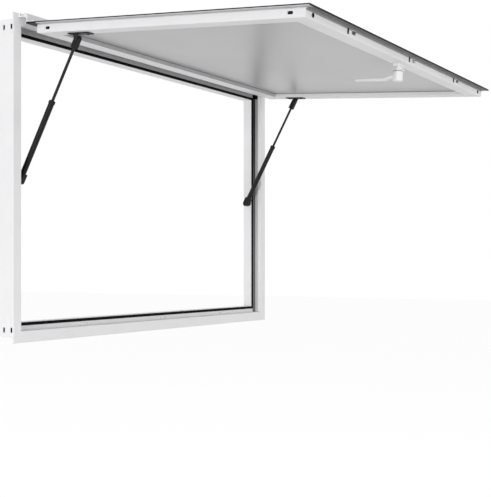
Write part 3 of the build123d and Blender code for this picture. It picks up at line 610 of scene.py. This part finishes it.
# Black lock bar that runs inside the front rail, behind its slots: a shallow channel, partly
# painted shade that keeps the slots dark
LOCK_BAR = (
    (RAIL_END - 2.3, -22.5),
    (RAIL_END - 2.3, -40.5),
    (RAIL_END - 4.7, -40.5),
    (RAIL_END - 4.7, -39.0),
    (RAIL_END - 3.3, -39.0),
    (RAIL_END - 3.3, -24.0),
    (RAIL_END - 4.7, -24.0),
    (RAIL_END - 4.7, -22.5),
)
LOCK_BAR_X = 605.0
bar_span = (-LOCK_BAR_X, LOCK_BAR_X)
door_extrusion("lock_bar_slot_shade", LOCK_BAR, (bar_span,), materials["bracket_black"])

# The lip rubber's grey foot on the front rail's face, cut away at the lock slots and studs:
# painted shade of the lip on the top of that face
FOOT = (
    (RAIL_END - 0.1, -23.2),
    (RAIL_END + 1.2, -23.2),
    (RAIL_END + 1.0, -25.8),
    (RAIL_END + 0.6, -26.6),
    (RAIL_END - 0.1, -26.6),
)
SLOT_CLEARANCE = 5.0
STUD_CLEARANCE = 10.5
cuts = [-RAIL_X]
for station in STATIONS:
    slot_x = station + SLOT_SHIFT
    stud_x = station + STUD_SHIFT
    cuts += [slot_x - SLOT_CLEARANCE, slot_x + SLOT_CLEARANCE]
    cuts += [stud_x - STUD_CLEARANCE, stud_x + STUD_CLEARANCE]
cuts.append(RAIL_X)
foot_spans = list(zip(cuts[0::2], cuts[1::2]))
door_extrusion("lip_shade_foot", FOOT, foot_spans, shade_foot_material)


def stadium(width, height):
    """Outline of an upright slot as (across, up) points."""
    steps = 8
    radius = width / 2.0
    points = []
    for centre, start in ((height / 2.0 - radius, 0.0), (radius - height / 2.0, math.pi)):
        for step in range(steps + 1):
            angle = start + math.pi * step / steps
            points.append((radius * math.cos(angle), centre + radius * math.sin(angle)))
    return points


# How much wider than its hole a rim's outer edge, crest and bore are, and how far it goes in
RIM_EDGE = 4.0
RIM_CREST = 3.2
RIM_BORE = -0.6
RIM_DEPTH = 1.9


def liners(name, holes, material):
    """Rims let into holes of the front rail's face, each hole given as (x, height, size)."""
    mesh = bmesh.new()
    for x, height, (width, tall) in holes:
        outer = stadium(width + RIM_EDGE, tall + RIM_EDGE)
        crest = stadium(width + RIM_CREST, tall + RIM_CREST)
        inner = stadium(width + RIM_BORE, tall + RIM_BORE)
        levels = ((outer, 0.0), (outer, 0.3), (crest, 0.6), (inner, 0.5), (inner, -RIM_DEPTH))
        rings = []
        for outline, proud in levels:
            ring = []
            for across, up in outline:
                ring.append(mesh.verts.new(door_point(x + across, RAIL_END + proud, height + up)))
            rings.append(ring)
        bridge(mesh, rings)
    add_piece(mesh, name, "door", material)


# Black rims of the lock slots and of the end holes in the front rail, partly painted shade that
# darkens the holes
hole_list = [(station + SLOT_SHIFT, SLOT_HEIGHT, SLOT_SIZE) for station in STATIONS]
hole_list += [(side * END_HOLE_X, END_HOLE_HEIGHT, END_HOLE_SIZE) for side in (-1, 1)]
liners("front_rail_shade_rims", hole_list, materials["fitting_black"])

# Screws, with sizes as (radius, height, recess): keepers first, two to each
KEEPER_SCREW = (3.1, 1.5, 1.0)
KEEPER_SCREW_SHIFT = 14.0
keeper_places = []
for name in ("keeper_left", "keeper_middle", "keeper_right"):
    low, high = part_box(name)
    middle = (low + high) / 2.0
    for shift in (-KEEPER_SCREW_SHIFT, KEEPER_SCREW_SHIFT):
        place = Vector((middle.x + shift * MM, low.y, middle.z))
        keeper_places.append((place, Vector((0, -1, 0))))
screws("keeper_screws", keeper_places, KEEPER_SCREW, "frame", screw_metal)

# Strut brackets
BRACKET_SCREW = (4.4, 2.4, 1.6)
BRACKET_SCREW_X = 598.5
BRACKET_SCREW_OUTS = (129.0, 175.0)
dark_steel = materials["rod_black"]
for side, name in ((-1, "left"), (1, "right")):
    places = []
    for out in BRACKET_SCREW_OUTS:
        places.append((door_point(side * BRACKET_SCREW_X, out, BRACKET_PLATE_FACE), DOWN))
    screws(f"bracket_screws_{name}", places, BRACKET_SCREW, "door", dark_steel)

# Hinge leaf
LEAF_SCREW = (3.2, 1.6, 1.1)
LEAF_SCREW_REACH = 600
LEAF_SCREW_PITCH = 150
leaf_places = []
for x in range(-LEAF_SCREW_REACH, LEAF_SCREW_REACH + 1, LEAF_SCREW_PITCH):
    leaf_places.append((Vector((x, LEAF_FACE_Y, LEAF_SCREW_Z)) * MM, Vector((0, -1, 0))))
screws("hinge_screws", leaf_places, LEAF_SCREW, "frame", screw_paint)

# Corner joints of the frame and of the door
JOINT_SCREW = (2.4, 1.0, 0.9)
JAMB_SCREW_YS = (17.0, 44.0)
JAMB_SCREW_ZS = (47.6, 825.0)
RAIL_SCREW_OUTS = (85.7, 775.0)
RAIL_SCREW_HEIGHT = -32.0
jamb_places = []
rail_places = []
for side in (-1, 1):
    sideways = Vector((side, 0, 0))
    for y in JAMB_SCREW_YS:
        for z in JAMB_SCREW_ZS:
            jamb_places.append((Vector((side * BODY_X, y, z)) * MM, sideways))
    for out in RAIL_SCREW_OUTS:
        rail_places.append((door_point(side * RAIL_X, out, RAIL_SCREW_HEIGHT), sideways))
screws("jamb_joint_screws", jamb_places, JOINT_SCREW, "frame", screw_paint)
screws("rail_joint_screws", rail_places, JOINT_SCREW, "door", screw_paint)

# Latch plate
LATCH_SCREW = (3.0, 1.2, 1.2)
LATCH_SCREW_X = 18.0
latch_places = []
for x in (-LATCH_SCREW_X, LATCH_SCREW_X):
    latch_places.append((door_point(x, LATCH_OUT, LATCH_PLATE_FACE), DOWN))
screws("latch_screws", latch_places, LATCH_SCREW, "door", screw_metal)

# Bright screw in the middle lock stud
STUD_SCREW = (3.7, 1.0, 1.0)
middle_stud = (door_point(STATIONS[1] + STUD_SHIFT, STUD_FACE, SLOT_HEIGHT), OUTWARD)
screws("stud_screw", [middle_stud], STUD_SCREW, "door", screw_metal)

# Rose on the latch's boss, with a black washer between it and the hub: the washer is painted
# shadow, the dark line under the rose
ROSE = ((11.0, 57.6), (17.0, 57.6), (17.8, 58.4), (17.8, 60.0), (17.0, 60.8), (11.0, 60.8))
SHADOW_WASHER = ((8.5, 60.9), (14.6, 60.9), (14.6, 61.9), (8.5, 61.9))
latch_axis_foot = door_point(0.0, LATCH_OUT, 0.0)
collar("latch_rose", latch_axis_foot, DOWN, ROSE, "door", materials["latch_paint"])
nylon = materials["fitting_black"]
collar("latch_shadow_washer", latch_axis_foot, DOWN, SHADOW_WASHER, "door", nylon)

# Wiper caps on the upper ends of the strut tubes, at a distance down from the upper pivot
CAP_START = 180.4
CAP = (
    (4.5, 0.0),
    (7.6, 0.0),
    (9.0, 1.4),
    (9.0, 9.0),
    (8.6, 9.6),
    (8.1, 9.6),
    (8.1, 1.6),
    (4.5, 1.6),
)
strut_line = (STRUT_FOOT - STRUT_TOP).normalized()
cap_place = STRUT_TOP + strut_line * CAP_START
for side, name in ((-1, "left"), (1, "right")):
    collar(
        f"strut_cap_{name}",
        Vector((side * STRUT_X, cap_place.x, cap_place.y)) * MM,
        Vector((0.0, strut_line.x, strut_line.y)),
        CAP,
        f"strut_{name}_tube",
        nylon,
    )


# Camera, floor and light

CAMERA_PLACE = (-2.6526, -1.90658, 0.20566)
CAMERA_TURN = math.radians(-59.097)
IMAGE_HEIGHT = 497.0
FOCAL_PIXELS = 1005.89
HORIZON = 263.83
SENSOR = 36.0
view = bpy.data.cameras.new("view")
view.sensor_width = SENSOR
view.lens = FOCAL_PIXELS * SENSOR / IMAGE_HEIGHT
view.shift_y = (HORIZON - IMAGE_HEIGHT / 2.0) / IMAGE_HEIGHT
view.clip_start = 0.05
view.clip_end = 200.0
camera = bpy.data.objects.new("view", view)
camera.location = CAMERA_PLACE
camera.rotation_euler = (math.radians(90.0), 0.0, CAMERA_TURN)
bpy.context.scene.collection.objects.link(camera)
bpy.context.scene.camera = camera

FLOOR_HEIGHT = -1.0
FLOOR_SIZE = 30.0
floor_mesh = bpy.data.meshes.new("floor")
floor_corners = []
for x, y in ((-1, -1), (1, -1), (1, 1), (-1, 1)):
    floor_corners.append((x * FLOOR_SIZE, y * FLOOR_SIZE, FLOOR_HEIGHT))
floor_mesh.from_pydata(floor_corners, [], [(0, 1, 2, 3)])
floor = bpy.data.objects.new("floor", floor_mesh)
bpy.context.scene.collection.objects.link(floor)

FLOOR_COLOUR = (0.82, 0.82, 0.82, 1.0)
FLOOR_LIFT = 0.475
floor_material = bpy.data.materials.new("floor_pale")
floor_material.use_nodes = True
tree = floor_material.node_tree
tree.nodes.clear()
floor_output = tree.nodes.new("ShaderNodeOutputMaterial")
floor_diffuse = tree.nodes.new("ShaderNodeBsdfDiffuse")
floor_diffuse.inputs["Color"].default_value = FLOOR_COLOUR
floor_glow = tree.nodes.new("ShaderNodeEmission")
floor_sum = tree.nodes.new("ShaderNodeAddShader")
ray = tree.nodes.new("ShaderNodeLightPath").outputs
seen = math_node(tree, "MAXIMUM", ray["Is Camera Ray"], ray["Is Glossy Ray"])
tree.links.new(math_node(tree, "MULTIPLY", seen, FLOOR_LIFT), floor_glow.inputs["Strength"])
tree.links.new(floor_diffuse.outputs["BSDF"], floor_sum.inputs[0])
tree.links.new(floor_glow.outputs["Emission"], floor_sum.inputs[1])
tree.links.new(floor_sum.outputs["Shader"], floor_output.inputs["Surface"])
floor_mesh.materials.append(floor_material)

WORLD_HORIZON = 0.37
WORLD_ZENITH = 0.8
WORLD_FRONT = 1.1
WORLD_BACK = 0.75
world = bpy.data.worlds.new("studio")
bpy.context.scene.world = world
world.use_nodes = True
tree = world.node_tree
tree.nodes.clear()
world_output = tree.nodes.new("ShaderNodeOutputWorld")
world_glow = tree.nodes.new("ShaderNodeBackground")
ray = tree.nodes.new("ShaderNodeLightPath").outputs
seen = math_node(tree, "MAXIMUM", ray["Is Camera Ray"], ray["Is Glossy Ray"])
seen = math_node(tree, "MAXIMUM", seen, ray["Is Transmission Ray"])
world_place = tree.nodes.new("ShaderNodeTexCoord")
world_split = tree.nodes.new("ShaderNodeSeparateXYZ")
tree.links.new(world_place.outputs["Generated"], world_split.inputs["Vector"])
height_level = spread(tree, world_split.outputs["Z"], WORLD_HORIZON, WORLD_ZENITH, 0.0, 1.0)
facing_level = spread(tree, world_split.outputs["Y"], WORLD_FRONT, WORLD_BACK, -0.7, 0.7)
level = math_node(tree, "MULTIPLY", height_level, facing_level)
plain = math_node(tree, "SUBTRACT", 1.0, seen)
strength = math_node(tree, "ADD", math_node(tree, "MULTIPLY", level, plain), seen)
tree.links.new(strength, world_glow.inputs["Strength"])
tree.links.new(world_glow.outputs["Background"], world_output.inputs["Surface"])
world_glow.inputs["Color"].default_value = (1.0, 1.0, 1.0, 1.0)


def soft_lamp(name, place, target, size, energy):
    """A large square area lamp turned towards a point."""
    data = bpy.data.lights.new(name, "AREA")
    data.shape = "SQUARE"
    data.size = size
    data.energy = energy
    made = bpy.data.objects.new(name, data)
    made.location = place
    aim = Vector(target) - Vector(place)
    made.rotation_euler = aim.to_track_quat("-Z", "Y").to_euler()
    bpy.context.scene.collection.objects.link(made)


soft_lamp("key", place=(-9.0, -1.6, 0.6), target=(0.0, -0.3, 0.45), size=2.4, energy=325.0)
soft_lamp("low_front", place=(-0.3, -3.8, -0.1), target=(0.0, -0.4, 0.5), size=1.3, energy=28.0)

bpy.context.scene.view_settings.view_transform = "Standard"
